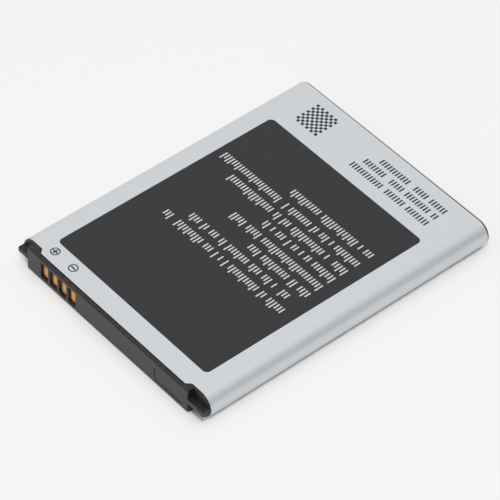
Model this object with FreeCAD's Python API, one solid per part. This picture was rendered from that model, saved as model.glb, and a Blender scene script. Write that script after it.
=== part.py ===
import FreeCAD, Part
import os

# Removable battery pack of a mobile phone, lying on its back face with the label up.
# X runs along the contact edge, Y from the contact end (front, negative) to the closed
# end of the can, Z up. The origin is the middle of the underside. Millimetres.

# Whole pack, label included
pack_width = 50.0
pack_thickness = 5.4
pack_length = 64.9

# Label: one film folded round the can, cut back at both front corners
film = 0.1
label_reach = 0.84          # its front edge behind the cap's face, in the middle
label_shoulder = 1.72       # the same at both corners
label_corner = 5.8          # how far both front corners reach in from the pack's sides
label_slant = 0.85          # sideways run of the edge between middle and corner
label_short = 0.45          # bare can at the closed end
seam_inset = 11.0           # the butt seam underneath, from the pack's right side
seam_gap = 0.15

# Drawn can and the lid welded in its mouth
can_wall = 0.4
can_end_radius = 0.2
mouth_depth = 3.55          # the can's mouth behind the cap's face
lid_thickness = 0.8

# Poles on the lid
terminal_place = 0.0
rivet_radius = 0.8
sleeve_radius = 1.2
pole_margin = 0.35          # from the insulator's long edges to the gasket and the weld plate
gasket_border = 0.45        # of the gasket round the rivet's head
gasket_thickness = 0.25
head_length = 4.2
head_thickness = 0.3
plug_place = 6.5
plug_radius = 0.6
plug_flange = 0.9
plug_head = 0.2
weld_plate_inset = 5.4      # its middle, from the chamber's right end
weld_plate_length = 5.6
weld_plate_thickness = 0.3

# Fibre sheet over the lid
insulator_thickness = 0.1
insulator_clearance = 0.1   # from the chamber's floor and ceiling
insulator_side = 0.4        # from the chamber's ends
insulator_opening = 0.2     # clearance round what it lets through

# End cap: the block that carries the contact windows
block_left_inset = 2.85     # from the pack's left side
block_right_inset = 4.15
rim_drop = 0.05             # the block's faces below the label's face
front_chamfer = 0.3
corner_radius = 0.15
rim_gap = 0.2               # between the block's rim and the label's edge
relief_depth = 0.25         # the groove in that gap
core_start = 0.5            # where the part under the label begins

# End cap: tongues in the corner pockets
pocket_depth = 1.34
tongue_reach = 0.25         # how far its end stays inside the pack's side
tongue_low = 2.2
tongue_high = 3.3
tongue_radius = 0.15

# End cap: chamber for the board
chamber_left_wall = 1.55
chamber_right_wall = 0.85
chamber_skin = 0.65         # wall of the cap above and below it
window_wall = 0.6

# Contact windows
contact_count = 4
contact_pitch = 2.5
window_inset = 4.75         # middle of the window beside the plus sign, from the block's end
window_width = 2.0
window_sill = 0.8           # up from the block's underside
window_head = 0.9           # down from the block's top
window_radius = 0.35
contact_pocket_margin = 0.3

# Contact plates
contact_width = 2.1
contact_inset = 0.1         # from the board's long edges
contact_thickness = 0.3
contact_radius = 0.35
contact_clearance = 0.09

# Witness groove of the mould's slide on the front face
groove_inset = 1.45         # from the block's right end
groove_length = 7.1
groove_low = 1.15
groove_head = 1.7           # its upper end, down from the pack's top
groove_radius = 0.8
groove_width = 0.2
groove_depth = 0.15

# Circuit board
board_thickness = 0.6
board_clearance = 0.1       # to the chamber's floor, ceiling and left end
board_fold_room = 6.2       # at its right end, for the fold of the positive lead

# Double-sided tape between cap and lid
tape_thickness = 0.15
tape_width = 2.4
tape_margin = 1.0           # from the pack's top and underside
tape_inset = 1.2            # from the pack's side

# Trip breaker on the insulator
breaker_offset = 10.3       # its middle, from the terminal's
breaker_length = 4.6
breaker_height = 2.6
breaker_depth = 0.9
breaker_radius = 0.3
breaker_tab_length = 1.4
breaker_tab_thickness = 0.15

# Nickel leads and the blocks that they are welded to
lead_thickness = 0.15
lead_height = 2.4
lead_weld_length = 1.2      # how far a lead lies on a tab of the breaker
tab_length = 2.4
tab_height = 2.6
tab_thickness = 0.3
negative_tab_inset = 1.6    # from the board's left end
positive_tab_inset = 0.6    # from its right end
negative_fold_start = 0.3   # past the board tab
positive_fold_inset = 3.0   # from the chamber's right end

# Chips on the board's back: length, height, depth
switch_chip = (4.4, 3.0, 1.0)
protection_chip = (2.0, 2.9, 0.75)
identity_chip = (0.8, 1.6, 0.45)
sensor_chip = (0.8, 1.6, 0.6)
contact_filter_chip = (0.8, 1.6, 0.6)
supply_resistor_chip = (0.8, 1.6, 0.45)
supply_filter_chip = (0.8, 1.6, 0.6)
sense_chip = (1.0, 2.0, 0.5)
chip_gap = 0.6              # between neighbours on the board
leg_reach = 0.55
leg_width = 0.3
leg_pitch = 0.65
leg_thickness = 0.15
end_metal = 0.3             # metallised ends of a resistor or capacitor
end_metal_step = 0.03

# Places that follow from the sizes
half_width = pack_width / 2
middle_z = pack_thickness / 2
front_y = -pack_length / 2
end_y = pack_length / 2
mouth_y = front_y + mouth_depth
board_front_y = front_y + window_wall + contact_clearance + contact_thickness
board_back_y = board_front_y + board_thickness
insulator_y = mouth_y - insulator_thickness
pocket_y = front_y + pocket_depth
chamber_height = pack_thickness - 2 * (film + chamber_skin)
insulator_height = chamber_height - 2 * insulator_clearance
weld_plate_height = insulator_height - 2 * pole_margin
gasket_height = insulator_height - 2 * pole_margin
gasket_length = head_length + 2 * gasket_border
head_height = gasket_height - 2 * gasket_border
board_height = chamber_height - 2 * board_clearance
contact_height = board_height - 2 * contact_inset
tape_height = pack_thickness - 2 * tape_margin
window_low = rim_drop + window_sill
window_high = pack_thickness - rim_drop - window_head
groove_high = pack_thickness - groove_head
label_inner = half_width - label_corner
label_outer = label_inner + label_slant
seam_place = half_width - seam_inset
block_left = block_left_inset - half_width
block_right = half_width - block_right_inset
chamber_left = block_left + chamber_left_wall
chamber_right = block_right - chamber_right_wall
first_window = block_left + window_inset
groove_right = block_right - groove_inset
groove_left = groove_right - groove_length
board_left = chamber_left + board_clearance
board_right = chamber_right - board_fold_room
weld_plate_place = chamber_right - weld_plate_inset
breaker_place = terminal_place - breaker_offset
positive_fold = chamber_right - positive_fold_inset


def box(x0, x1, y0, y1, z0, z1):
    corner = FreeCAD.Vector(x0, y0, z0)
    return Part.makeBox(x1 - x0, y1 - y0, z1 - z0, corner)


def upright_box(place, length, height, y0, y1):
    """A box centred on a place along X and on the pack's middle height."""
    half = length / 2
    return box(place - half, place + half, y0, y1, middle_z - height / 2, middle_z + height / 2)


def rounded_edges(shape, picks, radius):
    """Fillet the edges that the test picks."""
    edges = [edge for edge in shape.Edges if picks(edge.BoundBox)]
    return shape.makeFillet(radius, edges)


def round_sided_bar(width, thickness, y0, y1):
    """The pack's section: flat faces, sides of half-circles, run along Y."""
    radius = thickness / 2
    reach = width / 2 - radius
    top = middle_z + radius
    low = middle_z - radius

    def at(x, z):
        return FreeCAD.Vector(x, y0, z)

    right = Part.Arc(at(reach, top), at(width / 2, middle_z), at(reach, low))
    left = Part.Arc(at(-reach, low), at(-width / 2, middle_z), at(-reach, top))
    edges = [
        Part.LineSegment(at(-reach, top), at(reach, top)).toShape(),
        right.toShape(),
        Part.LineSegment(at(reach, low), at(-reach, low)).toShape(),
        left.toShape(),
    ]
    face = Part.Face(Part.Wire(edges))
    return face.extrude(FreeCAD.Vector(0, y1 - y0, 0))


def can_section(inset, y0, y1):
    """The can's outline, or one that lies inset from it."""
    less = 2 * (film + inset)
    return round_sided_bar(pack_width - less, pack_thickness - less, y0, y1)


def plan_prism(points, z0, z1):
    """A prism over an outline drawn in plan."""
    corners = [FreeCAD.Vector(x, y, z0) for x, y in points]
    face = Part.Face(Part.makePolygon(corners + corners[:1]))
    return face.extrude(FreeCAD.Vector(0, 0, z1 - z0))


def rounded_plate(place, z0, z1, width, radius, y0, y1):
    """An upright plate or opening with rounded corners."""
    plate = box(place - width / 2, place + width / 2, y0, y1, z0, z1)
    return rounded_edges(plate, lambda b: b.YLength > (y1 - y0) / 2, radius)


def end_ys(behind):
    """Depth of the label's front edge at the middle and at the corners, less a distance."""
    return front_y + label_reach - behind, front_y + label_shoulder - behind


def make_label():
    middle_y, shoulder_y = end_ys(0)
    back_y = end_y - label_short
    outside = round_sided_bar(pack_width, pack_thickness, middle_y, back_y)
    label = outside.cut(can_section(0, middle_y, back_y))
    for side in (-1, 1):
        corner = [
            (side * label_inner, middle_y),
            (side * label_outer, shoulder_y),
            (side * (half_width + 1), shoulder_y),
            (side * (half_width + 1), middle_y - 1),
            (side * label_inner, middle_y - 1),
        ]
        label = label.cut(plan_prism(corner, -1, pack_thickness + 1))
    seam = box(seam_place, seam_place + seam_gap, middle_y - 1, back_y + 1, -1, middle_z)
    return label.cut(seam)


def make_can():
    can = can_section(0, mouth_y, end_y)
    can = rounded_edges(can, lambda b: b.YMin > end_y - can_end_radius, can_end_radius)
    return can.cut(can_section(can_wall, mouth_y, mouth_y + lid_thickness))


def lid_hole(place, radius):
    start = FreeCAD.Vector(place, mouth_y, middle_z)
    return Part.makeCylinder(radius, lid_thickness, start, FreeCAD.Vector(0, 1, 0))


def make_lid():
    lid = can_section(can_wall, mouth_y, mouth_y + lid_thickness)
    lid = lid.cut(lid_hole(terminal_place, sleeve_radius))
    return lid.cut(lid_hole(plug_place, plug_radius))


def make_gasket():
    low = middle_z - gasket_height / 2
    high = middle_z + gasket_height / 2
    flange_y = mouth_y - gasket_thickness
    radius = gasket_height / 4
    flange = rounded_plate(terminal_place, low, high, gasket_length, radius, flange_y, mouth_y)
    gasket = flange.fuse(lid_hole(terminal_place, sleeve_radius))
    start = FreeCAD.Vector(terminal_place, flange_y, middle_z)
    depth = gasket_thickness + lid_thickness
    return gasket.cut(Part.makeCylinder(rivet_radius, depth, start, FreeCAD.Vector(0, 1, 0)))


def make_terminal():
    seat_y = mouth_y - gasket_thickness
    low = middle_z - head_height / 2
    high = middle_z + head_height / 2
    radius = head_height / 4
    head = rounded_plate(terminal_place, low, high, head_length, radius, seat_y - head_thickness, seat_y)
    start = FreeCAD.Vector(terminal_place, seat_y, middle_z)
    depth = gasket_thickness + lid_thickness
    return head.fuse(Part.makeCylinder(rivet_radius, depth, start, FreeCAD.Vector(0, 1, 0)))


def make_plug():
    start = FreeCAD.Vector(plug_place, mouth_y - plug_head, middle_z)
    head = Part.makeCone(plug_radius, plug_flange, plug_head, start, FreeCAD.Vector(0, 1, 0))
    return head.fuse(lid_hole(plug_place, plug_radius))


def make_weld_plate():
    y0 = mouth_y - weld_plate_thickness
    return upright_box(weld_plate_place, weld_plate_length, weld_plate_height, y0, mouth_y)


def make_insulator():
    left = chamber_left + insulator_side
    right = chamber_right - insulator_side
    middle = (left + right) / 2
    sheet = upright_box(middle, right - left, insulator_height, insulator_y, mouth_y)
    more = 2 * insulator_opening
    for place, length, height in (
        (terminal_place, gasket_length, gasket_height),
        (plug_place, 2 * plug_flange, 2 * plug_flange),
        (weld_plate_place, weld_plate_length, weld_plate_height),
    ):
        sheet = sheet.cut(upright_box(place, length + more, height + more, insulator_y, mouth_y))
    return sheet


def window_place(number):
    return first_window + number * contact_pitch


def make_rim():
    """The raised block in front of the label, bevelled along its front edges."""
    middle_y, shoulder_y = end_ys(rim_gap)
    plan = [
        (block_left, front_y),
        (block_right, front_y),
        (block_right, shoulder_y),
        (label_outer, shoulder_y),
        (label_inner, middle_y),
        (-label_inner, middle_y),
        (-label_outer, shoulder_y),
        (block_left, shoulder_y),
    ]
    rim = plan_prism(plan, rim_drop, pack_thickness - rim_drop)
    long_edges = [
        edge for edge in rim.Edges
        if edge.BoundBox.YMax < front_y + rim_gap / 2 and edge.BoundBox.XLength > label_inner
    ]
    rim = rim.makeChamfer(front_chamfer, long_edges)
    return rounded_edges(
        rim,
        lambda b: b.YMax < front_y + rim_gap / 2 and b.ZLength > middle_z,
        corner_radius,
    )


def make_tongue(side, x0):
    """A mid-height tongue from the block to the side of the pack."""
    x1 = side * (half_width - tongue_reach)
    tongue = box(min(x0, x1), max(x0, x1), front_y, pocket_y + rim_gap, tongue_low, tongue_high)
    end = x1 - side * tongue_radius
    return rounded_edges(
        tongue,
        lambda b: b.YMax < front_y + rim_gap or (b.XMin - end) * side > 0,
        tongue_radius,
    )


def make_groove():
    """The witness line: down, round a corner and along the front face."""
    half = groove_width / 2
    turn_x = groove_left + groove_radius
    turn_z = groove_low + groove_radius
    y0 = front_y - groove_depth

    def at(x, z):
        return FreeCAD.Vector(x, y0, z)

    def corner(radius):
        lean = radius * 0.5 ** 0.5
        start = at(turn_x - radius, turn_z)
        through = at(turn_x - lean, turn_z - lean)
        return start, through, at(turn_x, turn_z - radius)

    out_start, out_through, out_end = corner(groove_radius + half)
    in_start, in_through, in_end = corner(groove_radius - half)
    out_top = at(groove_left - half, groove_high)
    in_top = at(groove_left + half, groove_high)
    out_tip = at(groove_right, groove_low - half)
    in_tip = at(groove_right, groove_low + half)
    edges = [
        Part.LineSegment(out_top, out_start).toShape(),
        Part.Arc(out_start, out_through, out_end).toShape(),
        Part.LineSegment(out_end, out_tip).toShape(),
        Part.LineSegment(out_tip, in_tip).toShape(),
        Part.LineSegment(in_tip, in_end).toShape(),
        Part.Arc(in_end, in_through, in_start).toShape(),
        Part.LineSegment(in_start, in_top).toShape(),
        Part.LineSegment(in_top, out_top).toShape(),
    ]
    face = Part.Face(Part.Wire(edges))
    return face.extrude(FreeCAD.Vector(0, 2 * groove_depth, 0))


def tape_place(side):
    return side * (half_width - tape_inset - tape_width / 2)


def make_tape(side):
    return upright_box(tape_place(side), tape_width, tape_height, mouth_y - tape_thickness, mouth_y)


def make_cap():
    # Outer form: the pack's section, the block in front of it and the two tongues
    cap = can_section(0, pocket_y, mouth_y)
    cap = rounded_edges(cap, lambda b: b.YMax < pocket_y + corner_radius, corner_radius)
    cap = cap.fuse(box(
        block_left, block_right, front_y + core_start, pocket_y + rim_gap,
        film, pack_thickness - film,
    ))
    cap = cap.fuse(make_rim())
    cap = cap.fuse(make_tongue(-1, block_left))
    cap = cap.fuse(make_tongue(1, block_right)).removeSplitter()
    # Relief groove in the gap at the label's edge, above and below
    middle_y, _ = end_ys(rim_gap)
    seat = pack_thickness - film
    for z0, z1 in ((seat - relief_depth, pack_thickness), (0, film + relief_depth)):
        relief = box(-label_inner, label_inner, middle_y, middle_y + rim_gap, z0, z1)
        cap = cap.cut(relief)
    # Chamber for the board, and the pocket for the contact plates in its front wall
    chamber_middle = (chamber_left + chamber_right) / 2
    chamber_length = chamber_right - chamber_left
    cap = cap.cut(upright_box(chamber_middle, chamber_length, chamber_height, board_front_y, mouth_y))
    row_middle = (window_place(0) + window_place(contact_count - 1)) / 2
    row_length = (contact_count - 1) * contact_pitch + window_width + 2 * contact_pocket_margin
    cap = cap.cut(upright_box(
        row_middle, row_length, chamber_height, front_y + window_wall, board_front_y,
    ))
    for number in range(contact_count):
        cap = cap.cut(rounded_plate(
            window_place(number), window_low, window_high, window_width, window_radius,
            front_y, front_y + window_wall,
        ))
    # Seats for the tape
    for side in (-1, 1):
        cap = cap.cut(make_tape(side))
    return cap.cut(make_groove())


def make_board():
    middle = (board_left + board_right) / 2
    length = board_right - board_left
    return upright_box(middle, length, board_height, board_front_y, board_back_y)


def make_contact(number):
    low = middle_z - contact_height / 2
    high = middle_z + contact_height / 2
    y0 = board_front_y - contact_thickness
    return rounded_plate(
        window_place(number), low, high, contact_width, contact_radius, y0, board_front_y,
    )


def make_board_tab(place):
    return upright_box(place, tab_length, tab_height, board_back_y, board_back_y + tab_thickness)


def make_breaker():
    """A flat moulded breaker with a nickel tab at each end."""
    low = middle_z - breaker_height / 2
    high = middle_z + breaker_height / 2
    y0 = insulator_y - breaker_depth
    body = rounded_plate(breaker_place, low, high, breaker_length, breaker_radius, y0, insulator_y)
    tab_y = insulator_y - breaker_tab_thickness
    span = breaker_length + 2 * breaker_tab_length
    return body.fuse(upright_box(breaker_place, span, lead_height, tab_y, insulator_y)).removeSplitter()


def breaker_weld(side):
    """Where a lead's edge lies on the breaker's tab."""
    tip = breaker_length / 2 + breaker_tab_length
    return breaker_place + side * (tip - lead_weld_length)


def upright_strip(edges):
    face = Part.Face(Part.Wire(edges))
    return face.extrude(FreeCAD.Vector(0, 0, lead_height))


def make_breaker_lead():
    """From the rivet's head down to the breaker's tab, with a slant between."""
    upper = mouth_y - gasket_thickness - head_thickness
    lower = insulator_y - breaker_tab_thickness
    weld = breaker_weld(1)
    step = terminal_place - head_length / 2
    far = terminal_place + head_length / 2
    slant_start = breaker_place + breaker_length / 2 + breaker_tab_length
    line = [(weld, lower), (slant_start, lower), (step, upper), (far, upper)]
    outline = line + [(x, y - lead_thickness) for x, y in reversed(line)]
    corners = [FreeCAD.Vector(x, y, middle_z - lead_height / 2) for x, y in outline]
    return upright_strip(Part.makePolygon(corners + corners[:1]).Edges)


def make_folded_lead(fold, board_tip, lid_tip, lid_face_y):
    """A strip that lies on a board tab, folds over and lies on a pole's plate."""
    board_face_y = board_back_y + tab_thickness
    side = 1 if fold > board_tip else -1
    radius = (lid_face_y - board_face_y) / 2
    centre_y = board_face_y + radius

    def at(x, y):
        return FreeCAD.Vector(x, y, middle_z - lead_height / 2)

    def leg(x0, x1, y):
        return Part.LineSegment(at(x0, y), at(x1, y)).toShape()

    def bend(reach):
        start = at(fold, centre_y - reach)
        through = at(fold + side * reach, centre_y)
        return Part.Arc(start, through, at(fold, centre_y + reach)).toShape()

    inner = radius - lead_thickness
    inner_board_y = centre_y - inner
    inner_lid_y = centre_y + inner
    edges = [
        leg(board_tip, fold, board_face_y),
        bend(radius),
        leg(fold, lid_tip, lid_face_y),
        Part.LineSegment(at(lid_tip, lid_face_y), at(lid_tip, inner_lid_y)).toShape(),
        leg(lid_tip, fold, inner_lid_y),
        bend(inner),
        leg(fold, board_tip, inner_board_y),
        Part.LineSegment(at(board_tip, inner_board_y), at(board_tip, board_face_y)).toShape(),
    ]
    return upright_strip(Part.__sortEdges__(edges))


def make_negative_lead():
    board_tip = negative_tab_place + tab_length / 2
    fold = negative_tab_place - tab_length / 2 - negative_fold_start
    lid_face_y = insulator_y - breaker_tab_thickness
    return make_folded_lead(fold, board_tip, breaker_weld(-1), lid_face_y)


def make_positive_lead():
    board_tip = positive_tab_place - tab_length / 2
    lid_tip = weld_plate_place - weld_plate_length / 2
    return make_folded_lead(positive_fold, board_tip, lid_tip, mouth_y - weld_plate_thickness)


def make_legged_chip(place, chip, legs):
    """A moulded chip with a row of flat legs at each end."""
    length, height, depth = chip
    body = upright_box(place, length, height, board_back_y + leg_thickness, board_back_y + depth)
    shape = body
    reach = length / 2 + leg_reach
    first_z = middle_z - (legs - 1) * leg_pitch / 2
    for number in range(legs):
        z = first_z + number * leg_pitch
        shape = shape.fuse(box(
            place - reach, place + reach, board_back_y, board_back_y + leg_thickness,
            z - leg_width / 2, z + leg_width / 2,
        ))
    return shape.removeSplitter()


def make_end_metal_chip(place, chip):
    """A small resistor, capacitor or sensor with metallised ends, standing upright."""
    length, height, depth = chip
    back = board_back_y + depth
    less = 2 * end_metal_step
    body = upright_box(place, length - less, height - less, board_back_y, back - end_metal_step)
    low = middle_z - height / 2
    high = middle_z + height / 2
    for z0 in (low, high - end_metal):
        end = box(place - length / 2, place + length / 2, board_back_y, back, z0, z0 + end_metal)
        body = body.fuse(end)
    return body.removeSplitter()


def row_places(start, step, lengths):
    """The middle of each piece in a row laid from one end of the board."""
    places = []
    for length in lengths:
        places.append(start + step * length / 2)
        start += step * (length + chip_gap)
    return places


negative_tab_place, *small_chip_places, protection_place, supply_filter_place = row_places(
    board_left + negative_tab_inset,
    1,
    (
        tab_length, identity_chip[0], sensor_chip[0], contact_filter_chip[0],
        supply_resistor_chip[0], protection_chip[0] + 2 * leg_reach, supply_filter_chip[0],
    ),
)
identity_place, sensor_place, contact_filter_place, supply_resistor_place = small_chip_places
positive_tab_place, sense_place, switch_place = row_places(
    board_right - positive_tab_inset,
    -1,
    (tab_length, sense_chip[0], switch_chip[0] + 2 * leg_reach),
)

contact_names = ("contact_positive", "contact_identity", "contact_sensor", "contact_negative")

nodes = {
    "label": make_label(),
    "cell_can": make_can(),
    "can_lid": make_lid(),
    "terminal_gasket": make_gasket(),
    "negative_terminal": make_terminal(),
    "fill_plug": make_plug(),
    "weld_plate": make_weld_plate(),
    "lid_insulator": make_insulator(),
    "end_cap": make_cap(),
    "cap_tape_left": make_tape(-1),
    "cap_tape_right": make_tape(1),
    "circuit_board": make_board(),
    "negative_board_tab": make_board_tab(negative_tab_place),
    "positive_board_tab": make_board_tab(positive_tab_place),
    "trip_breaker": make_breaker(),
    "breaker_lead": make_breaker_lead(),
    "negative_lead": make_negative_lead(),
    "positive_lead": make_positive_lead(),
    "switch_transistor": make_legged_chip(switch_place, switch_chip, 4),
    "protection_chip": make_legged_chip(protection_place, protection_chip, 3),
    "temperature_sensor": make_end_metal_chip(sensor_place, sensor_chip),
    "identity_resistor": make_end_metal_chip(identity_place, identity_chip),
    "supply_resistor": make_end_metal_chip(supply_resistor_place, supply_resistor_chip),
    "sense_resistor": make_end_metal_chip(sense_place, sense_chip),
    "supply_capacitor": make_end_metal_chip(supply_filter_place, supply_filter_chip),
    "contact_capacitor": make_end_metal_chip(contact_filter_place, contact_filter_chip),
}
for number, name in enumerate(contact_names):
    nodes[name] = make_contact(number)

os.makedirs("parts", exist_ok=True)
for name, shape in nodes.items():
    shape.exportStep(f"parts/{name}.step")
    print(name, shape.isValid(), len(shape.Solids), round(shape.Volume, 3))
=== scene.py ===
import math

import bmesh
import bpy
from mathutils import Matrix, Vector


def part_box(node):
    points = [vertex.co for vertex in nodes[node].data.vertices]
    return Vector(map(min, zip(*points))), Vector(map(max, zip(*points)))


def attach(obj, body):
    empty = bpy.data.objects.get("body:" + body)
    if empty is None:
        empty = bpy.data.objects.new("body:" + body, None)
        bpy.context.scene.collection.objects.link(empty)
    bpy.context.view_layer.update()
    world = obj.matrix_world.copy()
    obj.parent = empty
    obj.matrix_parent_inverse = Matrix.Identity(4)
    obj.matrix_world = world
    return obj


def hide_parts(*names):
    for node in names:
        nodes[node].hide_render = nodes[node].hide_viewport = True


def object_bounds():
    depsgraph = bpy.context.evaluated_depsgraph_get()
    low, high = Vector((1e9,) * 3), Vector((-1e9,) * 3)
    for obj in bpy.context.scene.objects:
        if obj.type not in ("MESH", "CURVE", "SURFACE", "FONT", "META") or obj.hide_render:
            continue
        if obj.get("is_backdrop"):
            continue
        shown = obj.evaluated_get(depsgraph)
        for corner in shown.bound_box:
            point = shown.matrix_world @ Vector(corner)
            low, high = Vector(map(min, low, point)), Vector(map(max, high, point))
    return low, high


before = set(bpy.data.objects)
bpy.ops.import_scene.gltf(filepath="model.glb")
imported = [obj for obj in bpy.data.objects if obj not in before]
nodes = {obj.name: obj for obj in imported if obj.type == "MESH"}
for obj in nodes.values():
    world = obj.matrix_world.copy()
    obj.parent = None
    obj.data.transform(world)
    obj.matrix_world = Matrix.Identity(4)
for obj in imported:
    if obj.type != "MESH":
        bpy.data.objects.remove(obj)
solid_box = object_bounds()

# The studio camera stands in front and to the right of the pack, about 46 degrees up. Its lens is long and its
# frame is square, as in the photograph. The three directions are its own right, up and backward axes.
MM = 0.001
CAMERA_PLACE = (284.222, -256.613, 393.834)
CAMERA_RIGHT = (0.650550, 0.759110, 0.023390)
CAMERA_BACK = (0.518928, -0.466778, 0.716123)
CAMERA_LENS = 227.66
CAMERA_SENSOR = 36
CAMERA_NEAREST = 10 * MM    # nothing closer to the lens is drawn

camera_data = bpy.data.cameras.new("camera")
camera_data.sensor_width = CAMERA_SENSOR
camera_data.lens = CAMERA_LENS
camera_data.clip_start = CAMERA_NEAREST
camera = bpy.data.objects.new("camera", camera_data)
bpy.context.scene.collection.objects.link(camera)
backward = Vector(CAMERA_BACK).normalized()
sideways = Vector(CAMERA_RIGHT)
sideways = (sideways - backward * sideways.dot(backward)).normalized()
turn = Matrix((sideways, backward.cross(sideways), backward)).transposed()
camera.matrix_world = Matrix.Translation(Vector(CAMERA_PLACE) * MM) @ turn.to_4x4()
bpy.context.scene.camera = camera
bpy.context.scene.view_settings.view_transform = "Standard"


# The table is a sheet of pale card that runs past every edge of the picture. It is only the stage. The camera and
# the pack's gloss see part of its paleness as written, so the wide shadow stays faint and the line of contact dark.
CARD_COLOUR = "f5f5f4"
CARD_SIDE = 6.0
CARD_DROP = 0.02 * MM       # below the pack, so that no two faces lie in one plane
CARD_GLOW = 0.70            # the share that is seen as written
CONTACT_REACH = 3 * MM      # how far the pack's closeness darkens it
CONTACT_DARK = 0.35         # the open share of the sky at which none of the glow is left
CONTACT_SAMPLES = 8


def linear(hex_colour):
    """An sRGB hex colour as linear red, green, blue and alpha."""
    parts = [int(hex_colour[at:at + 2], 16) / 255 for at in (0, 2, 4)]
    return [part / 12.92 if part <= 0.04045 else ((part + 0.055) / 1.055) ** 2.4 for part in parts] + [1.0]


def add(tree, kind, values=None, links=None, **settings):
    """Add a node with its settings, its fixed input values and the sockets that feed it."""
    node = tree.nodes.new(kind)
    for name, setting in settings.items():
        setattr(node, name, setting)
    for key, value in (values or {}).items():
        node.inputs[key].default_value = value
    for key, socket in (links or {}).items():
        tree.links.new(socket, node.inputs[key])
    return node


def new_material(name):
    """An empty node material."""
    material = bpy.data.materials.new(name)
    material.use_nodes = True
    material.node_tree.nodes.clear()
    return material


def new_piece(name, mesh, material):
    """A finished piece at the origin, with one material."""
    mesh.materials.clear()
    mesh.materials.append(material)
    piece = bpy.data.objects.new(name, mesh)
    bpy.context.scene.collection.objects.link(piece)
    return piece


card_paper = new_material("pale_card")
tree = card_paper.node_tree
paper = add(tree, "ShaderNodeBsdfDiffuse", {"Color": linear(CARD_COLOUR)})
glow = add(tree, "ShaderNodeEmission", {"Color": linear(CARD_COLOUR), "Strength": 1.0})
ray = add(tree, "ShaderNodeLightPath")
camera_or_gloss = add(
    tree, "ShaderNodeMath", links={0: ray.outputs["Is Camera Ray"], 1: ray.outputs["Is Glossy Ray"]}, operation="ADD",
)
any_view = add(
    tree, "ShaderNodeMath", links={0: camera_or_gloss.outputs[0], 1: ray.outputs["Is Transmission Ray"]},
    operation="ADD", use_clamp=True,
)
open_sky = add(tree, "ShaderNodeAmbientOcclusion", {"Distance": CONTACT_REACH}, samples=CONTACT_SAMPLES)
share = add(
    tree, "ShaderNodeMapRange", {"From Min": CONTACT_DARK, "From Max": 1.0, "To Min": 0.0, "To Max": CARD_GLOW},
    {"Value": open_sky.outputs["AO"]},
)
seen_share = add(
    tree, "ShaderNodeMath", links={0: share.outputs[0], 1: any_view.outputs[0]}, operation="MULTIPLY",
)
face = add(tree, "ShaderNodeMixShader", links={0: seen_share.outputs[0], 1: paper.outputs[0], 2: glow.outputs[0]})
add(tree, "ShaderNodeOutputMaterial", links={"Surface": face.outputs[0]})

reach = CARD_SIDE / 2
corners = [(-reach, -reach), (reach, -reach), (reach, reach), (-reach, reach)]
card_mesh = bpy.data.meshes.new("card_table")
card_mesh.from_pydata([(x, y, -CARD_DROP) for x, y in corners], [], [(0, 1, 2, 3)])
card = new_piece("card_table", card_mesh, card_paper)
card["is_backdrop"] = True


# The light is a room that is pale above and to the left and dark low on the right, with one small soft box high
# above the camera. Together they show a level face about as its colour is written. The box gives the crisp line of
# shadow under the pack.
ROOM_PALE = 0.80
ROOM_DARK = 0.17
ROOM_TINT = "fffefc"
PALE_SIDE = (-0.45, -0.25, 0.86)
DARK_END = -0.10            # cosines to that side where the room is darkest and where it is palest
PALE_START = 0.52
BOX_PLACE = (0.245, -0.21, 0.63)
BOX_SIDE = 0.07
BOX_POWER = 1.75

world = bpy.data.worlds.new("pale_room")
world.use_nodes = True
bpy.context.scene.world = world
tree = world.node_tree
tree.nodes.clear()
direction = add(tree, "ShaderNodeTexCoord")
towards = add(
    tree, "ShaderNodeVectorMath", {1: PALE_SIDE}, {0: direction.outputs["Generated"]}, operation="DOT_PRODUCT",
)
level = add(
    tree, "ShaderNodeMapRange",
    {"From Min": DARK_END, "From Max": PALE_START, "To Min": ROOM_DARK, "To Max": ROOM_PALE},
    {"Value": towards.outputs["Value"]}, interpolation_type="SMOOTHSTEP",
)
room = add(tree, "ShaderNodeBackground", {"Color": linear(ROOM_TINT)}, {"Strength": level.outputs[0]})
add(tree, "ShaderNodeOutputWorld", links={"Surface": room.outputs[0]})

box_data = bpy.data.lights.new("soft_box", "AREA")
box_data.shape = "SQUARE"
box_data.size = BOX_SIDE
box_data.energy = BOX_POWER
soft_box = bpy.data.objects.new("soft_box", box_data)
bpy.context.scene.collection.objects.link(soft_box)
soft_box.location = BOX_PLACE
soft_box.rotation_euler = Vector(BOX_PLACE).to_track_quat("Z", "Y").to_euler()


# The cell can is drawn from a thin aluminium blank, and its lid is stamped and welded in. Of the can only the closed
# end is bare, and half a millimetre next to it. Its colour is painted shade: a dark grey, far darker than bare
# aluminium, so that the thin strip at the far edge shows dark. The faint rolling lines across the end are real.
CAN_SHADED_DARK = "61605f"
CAN_SHADED_LIGHT = "777675"
CAN_LINE = 0.32 * MM        # spacing of the rolling lines, coarser than real ones so that they show
CAN_LINE_RUN = 24 * MM
CAN_RELIEF = 0.02 * MM
CAN_ROUGHNESS = (0.32, 0.50)
NOISE_RANGE = (0.3, 0.7)    # what the values of a noise mostly keep to

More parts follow.
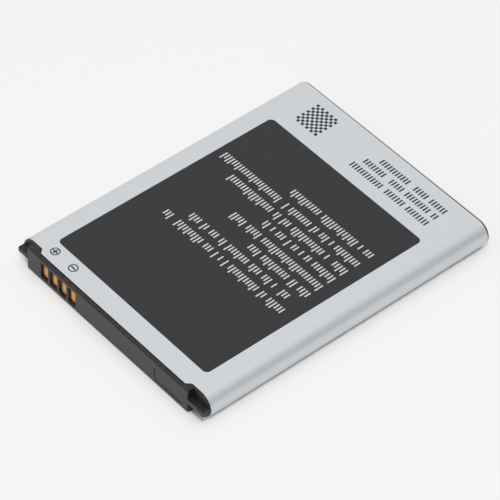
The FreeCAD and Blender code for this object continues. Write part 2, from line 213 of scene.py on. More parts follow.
aluminium_painted_dark = new_material("aluminium_painted_dark")
tree = aluminium_painted_dark.node_tree
place = add(tree, "ShaderNodeTexCoord")
lines = add(
    tree, "ShaderNodeMapping", {"Scale": (1 / CAN_LINE_RUN, 1 / CAN_LINE, 1 / CAN_LINE)},
    {"Vector": place.outputs["Object"]},
)
rolling = add(tree, "ShaderNodeTexNoise", {"Scale": 1.0, "Detail": 3.0}, {"Vector": lines.outputs[0]})
spread = add(
    tree, "ShaderNodeMapRange", {"From Min": NOISE_RANGE[0], "From Max": NOISE_RANGE[1]},
    {"Value": rolling.outputs["Fac"]},
)
# Both ends of this mix are painted shade, far darker than bare aluminium; only the rolling lines between them are
# real.
tint = add(
    tree, "ShaderNodeMix", {6: linear(CAN_SHADED_DARK), 7: linear(CAN_SHADED_LIGHT)}, {0: spread.outputs[0]}, data_type="RGBA",
)
dullness = add(
    tree, "ShaderNodeMapRange", {"To Min": CAN_ROUGHNESS[0], "To Max": CAN_ROUGHNESS[1]},
    {"Value": rolling.outputs["Fac"]},
)
relief = add(
    tree, "ShaderNodeBump", {"Strength": 0.3, "Distance": CAN_RELIEF}, {"Height": rolling.outputs["Fac"]},
)
metal = add(
    tree, "ShaderNodeBsdfPrincipled", {"Metallic": 1.0},
    {"Base Color": tint.outputs[2], "Roughness": dullness.outputs[0], "Normal": relief.outputs[0]},
)
add(tree, "ShaderNodeOutputMaterial", links={"Surface": metal.outputs[0]})


def finish_nodes(names, material):
    """Give CAD nodes their real finish."""
    for name in names:
        nodes[name].data.materials.clear()
        nodes[name].data.materials.append(material)


finish_nodes(["cell_can", "can_lid"], aluminium_painted_dark)


# The leads, the board's tabs and the weld plate are nickel strip, slit from rolled sheet and spot welded. The rivet
# and the plug in the lid are nickel plated. Rolling leaves the strip bright, with fine lines along it.
NICKEL = "c9c5bb"
ROLL_LINE = 0.12 * MM
ROLL_LINE_RUN = 5 * MM
NICKEL_ROUGHNESS = (0.22, 0.38)

rolled_nickel = new_material("rolled_nickel")
tree = rolled_nickel.node_tree
place = add(tree, "ShaderNodeTexCoord")
lines = add(
    tree, "ShaderNodeMapping", {"Scale": (1 / ROLL_LINE_RUN, 1 / ROLL_LINE, 1 / ROLL_LINE)},
    {"Vector": place.outputs["Object"]},
)
rolling = add(tree, "ShaderNodeTexNoise", {"Scale": 1.0, "Detail": 2.0}, {"Vector": lines.outputs[0]})
dullness = add(
    tree, "ShaderNodeMapRange", {"To Min": NICKEL_ROUGHNESS[0], "To Max": NICKEL_ROUGHNESS[1]},
    {"Value": rolling.outputs["Fac"]},
)
metal = add(
    tree, "ShaderNodeBsdfPrincipled", {"Base Color": linear(NICKEL), "Metallic": 1.0},
    {"Roughness": dullness.outputs[0]},
)
add(tree, "ShaderNodeOutputMaterial", links={"Surface": metal.outputs[0]})
finish_nodes(
    [
        "negative_terminal", "fill_plug", "weld_plate", "negative_board_tab", "positive_board_tab",
        "breaker_lead", "negative_lead", "positive_lead",
    ],
    rolled_nickel,
)


# The gasket and the trip breaker are small moulded parts, in polypropylene and in nylon. Both come matt from the
# mould, with a fine even grain.
MOULDED_GRAIN = 0.08 * MM
MOULDED_RELIEF = 0.01 * MM
MOULDED_PARTS = (
    ("moulded_polypropylene", "2c2c2e", 0.50, ["terminal_gasket"]),
    ("moulded_nylon", "232326", 0.42, ["trip_breaker"]),
)
for name, colour, roughness, members in MOULDED_PARTS:
    moulding = new_material(name)
    tree = moulding.node_tree
    place = add(tree, "ShaderNodeTexCoord")
    grain = add(
        tree, "ShaderNodeTexNoise", {"Scale": 1 / MOULDED_GRAIN, "Detail": 2.0}, {"Vector": place.outputs["Object"]},
    )
    relief = add(
        tree, "ShaderNodeBump", {"Strength": 0.2, "Distance": MOULDED_RELIEF}, {"Height": grain.outputs["Fac"]},
    )
    plastic = add(
        tree, "ShaderNodeBsdfPrincipled", {"Base Color": linear(colour), "Roughness": roughness},
        {"Normal": relief.outputs[0]},
    )
    add(tree, "ShaderNodeOutputMaterial", links={"Surface": plastic.outputs[0]})
    finish_nodes(members, moulding)


# The lid is covered by a punched sheet of pressed fibre, and the cap is stuck to the lid by two short pieces of
# tissue tape. Both show short tangled fibres.
FIBRE_LENGTH = 0.6 * MM
FIBROUS_SHEETS = (
    ("pressed_fibre", "b3ad8a", "cbc6a6", ["lid_insulator"]),
    ("tissue_tape", "d6d4cc", "ebe9e2", ["cap_tape_left", "cap_tape_right"]),
)
for name, dark_fibre, light_fibre, members in FIBROUS_SHEETS:
    sheet_paper = new_material(name)
    tree = sheet_paper.node_tree
    place = add(tree, "ShaderNodeTexCoord")
    fibres = add(
        tree, "ShaderNodeTexNoise", {"Scale": 1 / FIBRE_LENGTH, "Detail": 6.0, "Roughness": 0.7},
        {"Vector": place.outputs["Object"]},
    )
    tint = add(
        tree, "ShaderNodeMix", {6: linear(dark_fibre), 7: linear(light_fibre)},
        {0: fibres.outputs["Fac"]}, data_type="RGBA",
    )
    paper = add(
        tree, "ShaderNodeBsdfPrincipled", {"Roughness": 0.8}, {"Base Color": tint.outputs[2]},
    )
    add(tree, "ShaderNodeOutputMaterial", links={"Surface": paper.outputs[0]})
    finish_nodes(members, sheet_paper)


# The circuit board is glass-fibre laminate under green solder mask. The weave of the glass shows faintly through
# the mask, which cures to an even gloss.
MASK_DARK = "114e2f"
MASK_LIGHT = "165d38"
GLASS_WEAVE = 0.5 * MM      # spacing of the glass yarns across the board's face
WAVE_TURN = 20              # how far the wave node's bands turn per unit, in radians

masked_laminate = new_material("masked_laminate")
tree = masked_laminate.node_tree
place = add(tree, "ShaderNodeTexCoord")
warp, weft = [
    add(
        tree, "ShaderNodeTexWave", {"Scale": 2 * math.pi / (GLASS_WEAVE * WAVE_TURN)},
        {"Vector": place.outputs["Object"]}, bands_direction=run,
    )
    for run in ("X", "Z")
]
weave = add(
    tree, "ShaderNodeMath", links={0: warp.outputs["Fac"], 1: weft.outputs["Fac"]}, operation="MULTIPLY",
)
tint = add(
    tree, "ShaderNodeMix", {6: linear(MASK_DARK), 7: linear(MASK_LIGHT)}, {0: weave.outputs[0]}, data_type="RGBA",
)
laminate = add(
    tree, "ShaderNodeBsdfPrincipled", {"Roughness": 0.32, "IOR": 1.55}, {"Base Color": tint.outputs[2]},
)
add(tree, "ShaderNodeOutputMaterial", links={"Surface": laminate.outputs[0]})
finish_nodes(["circuit_board"], masked_laminate)


# The two chips are epoxy mouldings on tinned legs, which lie flat on the board. The legs are the lowest layer, so
# the finish changes to tin below the moulding's underside.
EPOXY = "1d1d1f"
TIN = "c4c4c2"
LEG_THICKNESS = 0.15 * MM
EPOXY_GRAIN = 0.06 * MM
EPOXY_RELIEF = 0.01 * MM

board_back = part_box("circuit_board")[1].y
moulded_epoxy = new_material("moulded_epoxy_on_tin")
tree = moulded_epoxy.node_tree
place = add(tree, "ShaderNodeTexCoord")
split = add(tree, "ShaderNodeSeparateXYZ", links={0: place.outputs["Object"]})
on_leg = add(
    tree, "ShaderNodeMath", {1: board_back + LEG_THICKNESS}, {0: split.outputs["Y"]}, operation="LESS_THAN",
)
tint = add(
    tree, "ShaderNodeMix", {6: linear(EPOXY), 7: linear(TIN)}, {0: on_leg.outputs[0]}, data_type="RGBA",
)
grain = add(tree, "ShaderNodeTexNoise", {"Scale": 1 / EPOXY_GRAIN}, {"Vector": place.outputs["Object"]})
relief = add(tree, "ShaderNodeBump", {"Strength": 0.2, "Distance": EPOXY_RELIEF}, {"Height": grain.outputs["Fac"]})
epoxy = add(
    tree, "ShaderNodeBsdfPrincipled", {"Roughness": 0.45},
    {"Base Color": tint.outputs[2], "Metallic": on_leg.outputs[0], "Normal": relief.outputs[0]},
)
add(tree, "ShaderNodeOutputMaterial", links={"Surface": epoxy.outputs[0]})
finish_nodes(["switch_transistor", "protection_chip"], moulded_epoxy)


# Resistors, capacitors and the temperature sensor are small fired ceramic bricks with a tinned cap at each end.
# One end is up and the other down, as they stand on the board.
TINNED_CAP = 0.3 * MM       # how far a cap reaches in from its end, along the height of the board
CERAMICS = (
    ("fired_brown_ceramic", "8c7a5e", ["supply_capacitor", "contact_capacitor"]),
    ("glazed_black_ceramic", "26262a", ["identity_resistor", "supply_resistor", "sense_resistor"]),
    ("fired_green_ceramic", "4c5c4a", ["temperature_sensor"]),
)
for name, colour, members in CERAMICS:
    for member in members:
        low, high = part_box(member)
        ceramic = new_material(f"{name}_{member}")
        tree = ceramic.node_tree
        place = add(tree, "ShaderNodeTexCoord")
        split = add(tree, "ShaderNodeSeparateXYZ", links={0: place.outputs["Object"]})
        below_middle = add(
            tree, "ShaderNodeMath", {1: (low.z + high.z) / 2}, {0: split.outputs["Z"]}, operation="SUBTRACT",
        )
        away = add(tree, "ShaderNodeMath", links={0: below_middle.outputs[0]}, operation="ABSOLUTE")
        on_cap = add(
            tree, "ShaderNodeMath", {1: (high.z - low.z) / 2 - TINNED_CAP}, {0: away.outputs[0]},
            operation="GREATER_THAN",
        )
        tint = add(
            tree, "ShaderNodeMix", {6: linear(colour), 7: linear(TIN)}, {0: on_cap.outputs[0]}, data_type="RGBA",
        )
        brick = add(
            tree, "ShaderNodeBsdfPrincipled", {"Roughness": 0.5},
            {"Base Color": tint.outputs[2], "Metallic": on_cap.outputs[0]},
        )
        add(tree, "ShaderNodeOutputMaterial", links={"Surface": brick.outputs[0]})
        finish_nodes([member], ceramic)


# The four contacts are plates soldered to the board and plated with hard gold. The plating is matt, which spreads
# the pale floor over it as a warm glow, with faint upright lines where the phone's spring pins wipe it.
GOLD = "ffd592"
GOLD_WORN = "ffc67c"
WIPE_LINE = 0.10 * MM
WIPE_RUN = 1.5 * MM
GOLD_ROUGHNESS = (0.66, 0.82)

hard_gold = new_material("hard_gold_plate")
tree = hard_gold.node_tree
place = add(tree, "ShaderNodeTexCoord")
lines = add(
    tree, "ShaderNodeMapping", {"Scale": (1 / WIPE_LINE, 1 / WIPE_LINE, 1 / WIPE_RUN)},
    {"Vector": place.outputs["Object"]},
)
wiping = add(tree, "ShaderNodeTexNoise", {"Scale": 1.0, "Detail": 3.0}, {"Vector": lines.outputs[0]})
tint = add(
    tree, "ShaderNodeMix", {6: linear(GOLD), 7: linear(GOLD_WORN)}, {0: wiping.outputs["Fac"]}, data_type="RGBA",
)
dullness = add(
    tree, "ShaderNodeMapRange", {"To Min": GOLD_ROUGHNESS[0], "To Max": GOLD_ROUGHNESS[1]},
    {"Value": wiping.outputs["Fac"]},
)
metal = add(
    tree, "ShaderNodeBsdfPrincipled", {"Metallic": 0.9},
    {"Base Color": tint.outputs[2], "Roughness": dullness.outputs[0]},
)
add(tree, "ShaderNodeOutputMaterial", links={"Surface": metal.outputs[0]})
finish_nodes(["contact_positive", "contact_identity", "contact_sensor", "contact_negative"], hard_gold)


# The end cap is one injection moulding in black PC/ABS, which carries the contact windows, the corner tongues and
# the witness groove. Moulded edges are never sharp: each has a radius of about 0.05 mm that catches a thin light.
CAP_DARK = "0a0a0b"
CAP_LIGHT = "292829"
CAP_EDGE = 0.05 * MM
CAP_EDGE_STEPS = 3
CAP_GRAIN = 0.40 * MM       # spark-eroded texture, drawn coarser than it is so that it shows
CAP_RELIEF = 0.03 * MM
CAP_ROUGHNESS = (0.34, 0.52)
CAP_RANGE = (0.42, 0.58)    # narrower than the noise's own range, so that the grain is crisp
MERGE_REACH = 0.001 * MM
FLAT_ANGLE = math.radians(0.5)
CREASE_ANGLE = math.radians(30)

moulded_abs = new_material("moulded_black_abs")
tree = moulded_abs.node_tree
place = add(tree, "ShaderNodeTexCoord")
grain = add(
    tree, "ShaderNodeTexNoise", {"Scale": 1 / CAP_GRAIN, "Detail": 3.0, "Roughness": 0.6},
    {"Vector": place.outputs["Object"]},
)
relief = add(tree, "ShaderNodeBump", {"Strength": 0.5, "Distance": CAP_RELIEF}, {"Height": grain.outputs["Fac"]})
dullness = add(
    tree, "ShaderNodeMapRange", {"To Min": CAP_ROUGHNESS[0], "To Max": CAP_ROUGHNESS[1]},
    {"Value": grain.outputs["Fac"]},
)
spread = add(
    tree, "ShaderNodeMapRange", {"From Min": CAP_RANGE[0], "From Max": CAP_RANGE[1]}, {"Value": grain.outputs["Fac"]},
)
tint = add(
    tree, "ShaderNodeMix", {6: linear(CAP_DARK), 7: linear(CAP_LIGHT)}, {0: spread.outputs[0]}, data_type="RGBA",
)
plastic = add(
    tree, "ShaderNodeBsdfPrincipled", {"IOR": 1.50},
    {"Base Color": tint.outputs[2], "Roughness": dullness.outputs[0], "Normal": relief.outputs[0]},
)
add(tree, "ShaderNodeOutputMaterial", links={"Surface": plastic.outputs[0]})


def plain_mesh(piece):
    """Turn a piece with live modifiers into a plain mesh, and drop the modifiers."""
    bpy.context.view_layer.update()
    seen = piece.evaluated_get(bpy.context.evaluated_depsgraph_get())
    mesh = bpy.data.meshes.new_from_object(seen)
    piece.modifiers.clear()
    piece.data = mesh


def round_shading(mesh, crease):
    """Smooth shading, kept crisp at edges that turn by more than the crease angle."""
    mesh.shade_smooth()
    mesh.set_sharp_from_angle(angle=crease)


cap_mesh = nodes["end_cap"].data.copy()
form = bmesh.new()
form.from_mesh(cap_mesh)
bmesh.ops.remove_doubles(form, verts=form.verts, dist=MERGE_REACH)
bmesh.ops.dissolve_limit(form, angle_limit=FLAT_ANGLE, verts=form.verts, edges=form.edges)
form.to_mesh(cap_mesh)
form.free()
cap = new_piece("end_cap_moulding", cap_mesh, moulded_abs)
edges = cap.modifiers.new("moulded_edges", "BEVEL")
edges.width = CAP_EDGE
edges.segments = CAP_EDGE_STEPS
edges.limit_method = "ANGLE"
edges.angle_limit = CREASE_ANGLE
edges.use_clamp_overlap = True
edges.harden_normals = True
plain_mesh(cap)
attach(cap, "root")
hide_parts("end_cap")


# The label is one polyester film, printed silver, folded once round the can and butted underneath. Its front edge
# steps back at both corners for the cap's tongues. The silver ink is satin, with a fine grain.
FILM_DARK = "d4d8dd"
FILM_LIGHT = "dadee3"
FILM_THICKNESS = 0.1
INK_THICKNESS = 0.006
INK_SINK = 0.3 * INK_THICKNESS      # how far a print sinks into what it lies on
INK_DEPTH = INK_THICKNESS + INK_SINK
INK_ROOM = 2 * INK_THICKNESS        # left above the film, inside the pack's size
FILM_MIDDLE_EDGE = -31.61
FILM_CORNER_EDGE = -30.73
FILM_INNER = 19.2           # half the length of the middle edge
FILM_OUTER = 20.05
FILM_STRIP = 0.1            # the narrow flat strip next to the round side
FILM_FAR_LEFT = 32.13       # the film lies a hair askew
FILM_FAR_RIGHT = 32.0
SEAM_LEFT = 14.0
SEAM_RIGHT = 14.15
SIDE_STEPS = 48             # faces round each side
FILM_GRAIN = 0.25 * MM      # aluminium flake in the ink, drawn coarser than it is so that it shows
FILM_RELIEF = 0.005 * MM
FILM_ROUGHNESS = (0.40, 0.48)

silver_film = new_material("silver_printed_polyester")
tree = silver_film.node_tree
place = add(tree, "ShaderNodeTexCoord")
grain = add(
    tree, "ShaderNodeTexNoise", {"Scale": 1 / FILM_GRAIN, "Detail": 2.0}, {"Vector": place.outputs["Object"]},
)
relief = add(tree, "ShaderNodeBump", {"Strength": 0.1, "Distance": FILM_RELIEF}, {"Height": grain.outputs["Fac"]})
dullness = add(
    tree, "ShaderNodeMapRange", {"To Min": FILM_ROUGHNESS[0], "To Max": FILM_ROUGHNESS[1]},
    {"Value": grain.outputs["Fac"]},
)
spread = add(
    tree, "ShaderNodeMapRange", {"From Min": NOISE_RANGE[0], "From Max": NOISE_RANGE[1]},
    {"Value": grain.outputs["Fac"]},
)
tint = add(
    tree, "ShaderNodeMix", {6: linear(FILM_DARK), 7: linear(FILM_LIGHT)}, {0: spread.outputs[0]}, data_type="RGBA",
)
film_print = add(
    tree, "ShaderNodeBsdfPrincipled", {"Metallic": 0.45, "IOR": 1.5},
    {"Base Color": tint.outputs[2], "Roughness": dullness.outputs[0], "Normal": relief.outputs[0]},
)
add(tree, "ShaderNodeOutputMaterial", links={"Surface": film_print.outputs[0]})

film_low, film_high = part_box("label")
pack_width = (film_high.x - film_low.x) / MM
film_top = film_high.z / MM - INK_ROOM


def film_section(inset):
    """The folded film's outline, seen from the front, from one side of the seam to the other."""
    radius = film_top / 2 - inset
    reach = pack_width / 2 - film_top / 2
    middle = film_top / 2
    flats = [FILM_INNER, FILM_OUTER, (FILM_OUTER + reach) / 2, reach - FILM_STRIP]
    low = [(x, middle - radius) for x in [SEAM_RIGHT] + flats]
    turns = [math.pi * (step / SIDE_STEPS - 0.5) for step in range(SIDE_STEPS + 1)]
    right = [(reach + radius * math.cos(turn), middle + radius * math.sin(turn)) for turn in turns]
    top = [(x, middle + radius) for x in flats[::-1]]
    half = right + top
    mirrored = [(-x, z) for x, z in half[::-1]]
    far_low = [(-x, middle - radius) for x in flats[::-1]] + [(SEAM_LEFT, middle - radius)]
    return low + half + mirrored + far_low


def near_edge(x):
    """How far forward the film reaches at a place across the pack."""
    step = min(max((abs(x) - FILM_INNER) / (FILM_OUTER - FILM_INNER), 0), 1)
    return FILM_MIDDLE_EDGE + step * (FILM_CORNER_EDGE - FILM_MIDDLE_EDGE)


def far_edge(x):
    """How far back the film reaches at a place across the pack."""
    return FILM_FAR_LEFT + (x / pack_width + 0.5) * (FILM_FAR_RIGHT - FILM_FAR_LEFT)


form = bmesh.new()
rings = []
for section in (film_section(0), film_section(FILM_THICKNESS)):
    for far in (False, True):
        rings.append([
            form.verts.new(Vector((x, far_edge(x) if far else near_edge(x), z)) * MM) for x, z in section
        ])
out_near, out_far, in_near, in_far = rings
last = len(out_near) - 1
for at in range(last):
    form.faces.new((out_near[at], out_near[at + 1], out_far[at + 1], out_far[at]))
    form.faces.new((in_near[at], in_far[at], in_far[at + 1], in_near[at + 1]))
    form.faces.new((out_near[at + 1], out_near[at], in_near[at], in_near[at + 1]))
    form.faces.new((out_far[at], out_far[at + 1], in_far[at + 1], in_far[at]))
form.faces.new((out_near[0], out_far[0], in_far[0], in_near[0]))
form.faces.new((out_far[last], out_near[last], in_near[last], in_far[last]))
bmesh.ops.recalc_face_normals(form, faces=form.faces)
film_mesh = bpy.data.meshes.new("label_film")
form.to_mesh(film_mesh)
form.free()
round_shading(film_mesh, CREASE_ANGLE)
film = new_piece("label_film", film_mesh, silver_film)
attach(film, "root")
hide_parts("label")


# The dark field is one flat patch of charcoal ink with rounded corners, screen printed on the film. It is satin
# and slightly smoother than the silver round it.
FIELD_LEFT = -19.84
FIELD_RIGHT = 19.87
FIELD_NEAR = -27.61
FIELD_FAR = 21.04
FIELD_CORNER = 1.0
CORNER_STEPS = 12
INK_ROUGHNESS_SPAN = 0.04   # each way
INKS = (
    ("charcoal_ink", "1d1f22", "27292c", 0.42), ("grey_ink", "202225", "2a2c2f", 0.45),
    ("pale_ink", "c9ccd0", "d1d4d8", 0.45),
)

inks = {}
for name, dark, light, roughness in INKS:
    ink = new_material(name)
    tree = ink.node_tree
    place = add(tree, "ShaderNodeTexCoord")
    grain = add(
        tree, "ShaderNodeTexNoise", {"Scale": 1 / FILM_GRAIN, "Detail": 2.0}, {"Vector": place.outputs["Object"]},
    )
    dullness = add(
        tree, "ShaderNodeMapRange",
        {"To Min": roughness - INK_ROUGHNESS_SPAN, "To Max": roughness + INK_ROUGHNESS_SPAN},
        {"Value": grain.outputs["Fac"]},
    )
    spread = add(
        tree, "ShaderNodeMapRange", {"From Min": NOISE_RANGE[0], "From Max": NOISE_RANGE[1]},
        {"Value": grain.outputs["Fac"]},
    )
    tint = add(
        tree, "ShaderNodeMix", {6: linear(dark), 7: linear(light)}, {0: spread.outputs[0]}, data_type="RGBA",
    )
    coat = add(
        tree, "ShaderNodeBsdfPrincipled", {"IOR": 1.45},
        {"Base Color": tint.outputs[2], "Roughness": dullness.outputs[0]},
    )
    add(tree, "ShaderNodeOutputMaterial", links={"Surface": coat.outputs[0]})
    inks[name] = ink


def rounded_outline(left, right, near, far, radius, steps):
    """A rectangle with round corners, anticlockwise."""
    points = []
    for x, y, start in (
        (right - radius, near + radius, -0.5), (right - radius, far - radius, 0.0),
        (left + radius, far - radius, 0.5), (left + radius, near + radius, 1.0),
    ):
        for step in range(steps + 1):
            angle = math.pi * (start + 0.5 * step / steps)
            points.append((x + radius * math.cos(angle), y + radius * math.sin(angle)))
    return points


def ink_patch(form, outline, low, hole=None):
    """A thin closed patch of ink on the film, plain or as a ring."""
    high = low + INK_DEPTH
    loops = []
    for line in [outline] + ([hole] if hole else []):
        for z in (low, high):
            loops.append([form.verts.new(Vector((x, y, z)) * MM) for x, y in line])
    count = len(outline)
    for at in range(count):
        after = (at + 1) % count
        form.faces.new((loops[0][at], loops[0][after], loops[1][after], loops[1][at]))
        if hole:
            form.faces.new((loops[2][after], loops[2][at], loops[3][at], loops[3][after]))
            form.faces.new((loops[1][at], loops[1][after], loops[3][after], loops[3][at]))
            form.faces.new((loops[0][after], loops[0][at], loops[2][at], loops[2][after]))
    if not hole:
        form.faces.new(loops[0][::-1])
        form.faces.new(loops[1])


def print_piece(name, form, ink):
    """Finish one print as a piece on the pack."""
    mesh = bpy.data.meshes.new(name)
    form.to_mesh(mesh)
    form.free()
    piece = new_piece(name, mesh, ink)
    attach(piece, "root")


on_film = film_top - INK_SINK
on_field = on_film + INK_THICKNESS
form = bmesh.new()
ink_patch(form, rounded_outline(FIELD_LEFT, FIELD_RIGHT, FIELD_NEAR, FIELD_FAR, FIELD_CORNER, CORNER_STEPS), on_film)
print_piece("dark_field_print", form, inks["charcoal_ink"])


# The plus and minus marks say which end window is which pole: a ring with a cross, and a ring with one bar. They
# are thin lines of grey ink.
RING_OUTER = 0.92
RING_LINE = 0.22
RING_STEPS = 48
BAR_HALF = 0.60
BAR_LINE = 0.30
PLUS_PLACE = (-18.11, -29.44)
MINUS_PLACE = (-13.07, -29.51)


def circle(place, radius, steps):
    """Points round a circle, anticlockwise."""
    turns = [2 * math.pi * step / steps for step in range(steps)]
    return [(place[0] + radius * math.cos(turn), place[1] + radius * math.sin(turn)) for turn in turns]


form = bmesh.new()
for place, crossed in ((PLUS_PLACE, True), (MINUS_PLACE, False)):
    ink_patch(
        form, circle(place, RING_OUTER, RING_STEPS), on_film, circle(place, RING_OUTER - RING_LINE, RING_STEPS),
    )
    x, y = place
    half = BAR_LINE / 2
    bar = [(-BAR_HALF, -half), (BAR_HALF, -half), (BAR_HALF, half), (-BAR_HALF, half)]
    if crossed:
        bar = [
            (-BAR_HALF, -half), (-half, -half), (-half, -BAR_HALF), (half, -BAR_HALF), (half, -half),
            (BAR_HALF, -half), (BAR_HALF, half), (half, half), (half, BAR_HALF), (-half, BAR_HALF),
            (-half, half), (-BAR_HALF, half),
        ]
    ink_patch(form, [(x + dx, y + dy) for dx, dy in bar], on_film)
print_piece("polarity_marks", form, inks["grey_ink"])


# Rows of small plain ticks are printed on the film: pale ones in the dark field, and dark ones near the far edge.
# They are the size of fine print and spell nothing. One tree sets them out by rule.
PALE_TICKS = {"Pitch": 0.66, "Tick width": 0.28, "Tick height": 1.35, "Tall": 1.4, "Tall share": 0.3,
              "Gap share": 0.16, "Seed": 4}
PALE_ROWS = (               # from, to and middle of each row
    (17.0, -13.6, -8.6), (17.0, -10.1, -5.7), (17.0, 2.1, -2.8), (17.0, -5.6, 0.0),
    (17.0, -0.6, 2.9), (17.0, -13.0, 5.7), (17.0, -18.0, 8.5), (17.0, -3.3, 11.7),
)
DARK_TICKS = {"Pitch": 0.66, "Tick width": 0.34, "Tick height": 1.35, "Tall": 1.0, "Tall share": 0.0,
              "Gap share": 0.12, "Seed": 9}
DARK_ROWS = ((17.2, 7.0, 24.4), (5.4, -2.0, 24.4), (17.2, -1.0, 26.7), (17.2, 1.0, 28.8))

tick_tree = bpy.data.node_groups.new("tick_rows", "GeometryNodeTree")
tick_tree.is_modifier = True
sockets = {}
for name, kind in (
    ("Rows", "NodeSocketGeometry"), ("Pitch", "NodeSocketFloat"), ("Tick width", "NodeSocketFloat"),
    ("Tick height", "NodeSocketFloat"), ("Tick depth", "NodeSocketFloat"), ("Tall", "NodeSocketFloat"),
    ("Tall share", "NodeSocketFloat"), ("Gap share", "NodeSocketFloat"), ("Seed", "NodeSocketInt"),
    ("Ink", "NodeSocketMaterial"),
):
    sockets[name] = tick_tree.interface.new_socket(name=name, in_out="INPUT", socket_type=kind).identifier
tick_tree.interface.new_socket(name="Ticks", in_out="OUTPUT", socket_type="NodeSocketGeometry")

given = add(tick_tree, "NodeGroupInput").outputs
lines = add(tick_tree, "GeometryNodeMeshToCurve", links={"Mesh": given["Rows"]})
spots = add(
    tick_tree, "GeometryNodeCurveToPoints", links={"Curve": lines.outputs[0], "Length": given["Pitch"]},
    mode="LENGTH",
)
left_out = add(
    tick_tree, "FunctionNodeRandomValue", links={"Probability": given["Gap share"], "Seed": given["Seed"]},
    data_type="BOOLEAN",
)
kept = add(
    tick_tree, "GeometryNodeDeleteGeometry",
    links={"Geometry": spots.outputs["Points"], "Selection": left_out.outputs[3]}, domain="POINT",
)
next_seed = add(tick_tree, "ShaderNodeMath", {1: 1.0}, {0: given["Seed"]}, operation="ADD")
is_tall = add(
    tick_tree, "FunctionNodeRandomValue", links={"Probability": given["Tall share"], "Seed": next_seed.outputs[0]},
    data_type="BOOLEAN",
)
height = add(tick_tree, "ShaderNodeMix", {2: 1.0}, {0: is_tall.outputs[3], 3: given["Tall"]}, data_type="FLOAT")
stretch = add(tick_tree, "ShaderNodeCombineXYZ", {"X": 1.0, "Z": 1.0}, {"Y": height.outputs[0]})
size = add(
    tick_tree, "ShaderNodeCombineXYZ",
    links={"X": given["Tick width"], "Y": given["Tick height"], "Z": given["Tick depth"]},
)
tick = add(tick_tree, "GeometryNodeMeshCube", links={"Size": size.outputs[0]})
half_height = add(tick_tree, "ShaderNodeMath", {1: -0.5}, {0: given["Tick height"]}, operation="MULTIPLY")
half_depth = add(tick_tree, "ShaderNodeMath", {1: 0.5}, {0: given["Tick depth"]}, operation="MULTIPLY")
shift = add(tick_tree, "ShaderNodeCombineXYZ", links={"Y": half_height.outputs[0], "Z": half_depth.outputs[0]})
stood = add(
    tick_tree, "GeometryNodeTransform", links={"Geometry": tick.outputs["Mesh"], "Translation": shift.outputs[0]},
)
placed = add(
    tick_tree, "GeometryNodeInstanceOnPoints",
    links={"Points": kept.outputs[0], "Instance": stood.outputs[0], "Scale": stretch.outputs[0]},
)
real = add(tick_tree, "GeometryNodeRealizeInstances", links={"Geometry": placed.outputs[0]})
inked = add(
    tick_tree, "GeometryNodeSetMaterial", links={"Geometry": real.outputs[0], "Material": given["Ink"]},
)
add(tick_tree, "NodeGroupOutput", links={"Ticks": inked.outputs[0]})


def grown(name, start, tree, identifiers, values, ink):
    """Run a tree on a start mesh and keep the result as a printed piece."""
    piece = new_piece(name, start, ink)
    growth = piece.modifiers.new(name, "NODES")
    growth.node_group = tree
    for key, value in values.items():
        growth[identifiers[key]] = value
    plain_mesh(piece)
    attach(piece, "root")


def row_lines(name, rows, height, low):
    """The baselines of some rows of ticks, in metres."""
    mesh = bpy.data.meshes.new(name)
    points = [Vector((x, y + height / 2, low)) * MM for start, end, y in rows for x in (start, end)]
    mesh.from_pydata(points, [(at, at + 1) for at in range(0, len(points), 2)], [])
    return mesh


for name, rows, ticks, ink, low in (
    ("pale_ticks", PALE_ROWS, PALE_TICKS, "pale_ink", on_field),
    ("dark_ticks", DARK_ROWS, DARK_TICKS, "grey_ink", on_film),
):
    in_metres = {
        key: value * MM if key in ("Pitch", "Tick width", "Tick height") else value for key, value in ticks.items()
    }
    in_metres.update({"Tick depth": INK_DEPTH * MM, "Ink": inks[ink]})
    grown(name, row_lines(name, rows, ticks["Tick height"], low), tick_tree, sockets, in_metres, inks[ink])


# A small even check is printed in the far corner, in grey ink. Its squares are set out as on a draughtboard. A
# second tree makes it from a grid of points.
CHECK_MIDDLE = (-14.3, 26.95)
CHECK_SIDE = 5.922
CHECK_CELLS = 10

check_tree = bpy.data.node_groups.new("check_square", "GeometryNodeTree")
check_tree.is_modifier = True
sockets = {}
for name, kind in (
    ("Start", "NodeSocketGeometry"), ("Cells", "NodeSocketInt"), ("Cell side", "NodeSocketFloat"),
    ("Depth", "NodeSocketFloat"), ("Middle", "NodeSocketVector"), ("Ink", "NodeSocketMaterial"),
):
    sockets[name] = check_tree.interface.new_socket(name=name, in_out="INPUT", socket_type=kind).identifier
check_tree.interface.new_socket(name="Check", in_out="OUTPUT", socket_type="NodeSocketGeometry")

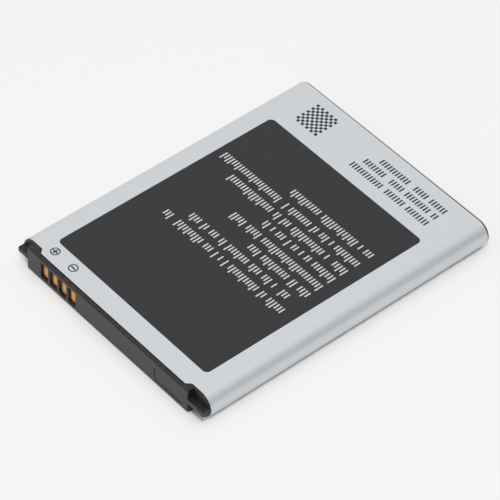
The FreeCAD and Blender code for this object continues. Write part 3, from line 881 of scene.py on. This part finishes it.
given = add(check_tree, "NodeGroupInput").outputs
steps = add(check_tree, "ShaderNodeMath", {1: 1.0}, {0: given["Cells"]}, operation="SUBTRACT")
span = add(
    check_tree, "ShaderNodeMath", links={0: steps.outputs[0], 1: given["Cell side"]}, operation="MULTIPLY",
)
grid = add(
    check_tree, "GeometryNodeMeshGrid",
    links={"Size X": span.outputs[0], "Size Y": span.outputs[0], "Vertices X": given["Cells"],
           "Vertices Y": given["Cells"]},
)
centred = add(
    check_tree, "GeometryNodeTransform", links={"Geometry": grid.outputs["Mesh"], "Translation": given["Middle"]},
)
index = add(check_tree, "GeometryNodeInputIndex")
line_at = add(check_tree, "ShaderNodeMath", links={0: index.outputs[0], 1: given["Cells"]}, operation="DIVIDE")
line = add(check_tree, "ShaderNodeMath", links={0: line_at.outputs[0]}, operation="FLOOR")
column = add(check_tree, "ShaderNodeMath", links={0: index.outputs[0], 1: given["Cells"]}, operation="MODULO")
total = add(check_tree, "ShaderNodeMath", links={0: line.outputs[0], 1: column.outputs[0]}, operation="ADD")
odd = add(check_tree, "ShaderNodeMath", {1: 2.0}, {0: total.outputs[0]}, operation="MODULO")
size = add(
    check_tree, "ShaderNodeCombineXYZ",
    links={"X": given["Cell side"], "Y": given["Cell side"], "Z": given["Depth"]},
)
square = add(check_tree, "GeometryNodeMeshCube", links={"Size": size.outputs[0]})
placed = add(
    check_tree, "GeometryNodeInstanceOnPoints",
    links={"Points": centred.outputs[0], "Instance": square.outputs["Mesh"], "Selection": odd.outputs[0]},
)
real = add(check_tree, "GeometryNodeRealizeInstances", links={"Geometry": placed.outputs[0]})
inked = add(
    check_tree, "GeometryNodeSetMaterial", links={"Geometry": real.outputs[0], "Material": given["Ink"]},
)
add(check_tree, "NodeGroupOutput", links={"Check": inked.outputs[0]})

check_values = {
    "Cells": CHECK_CELLS,
    "Cell side": CHECK_SIDE / CHECK_CELLS * MM,
    "Depth": INK_DEPTH * MM,
    "Middle": [CHECK_MIDDLE[0] * MM, CHECK_MIDDLE[1] * MM, (on_film + INK_DEPTH / 2) * MM],
    "Ink": inks["grey_ink"],
}
grown("check_square", bpy.data.meshes.new("check_square"), check_tree, sockets, check_values, inks["grey_ink"])


corners = {"solid": solid_box, "seen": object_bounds()}
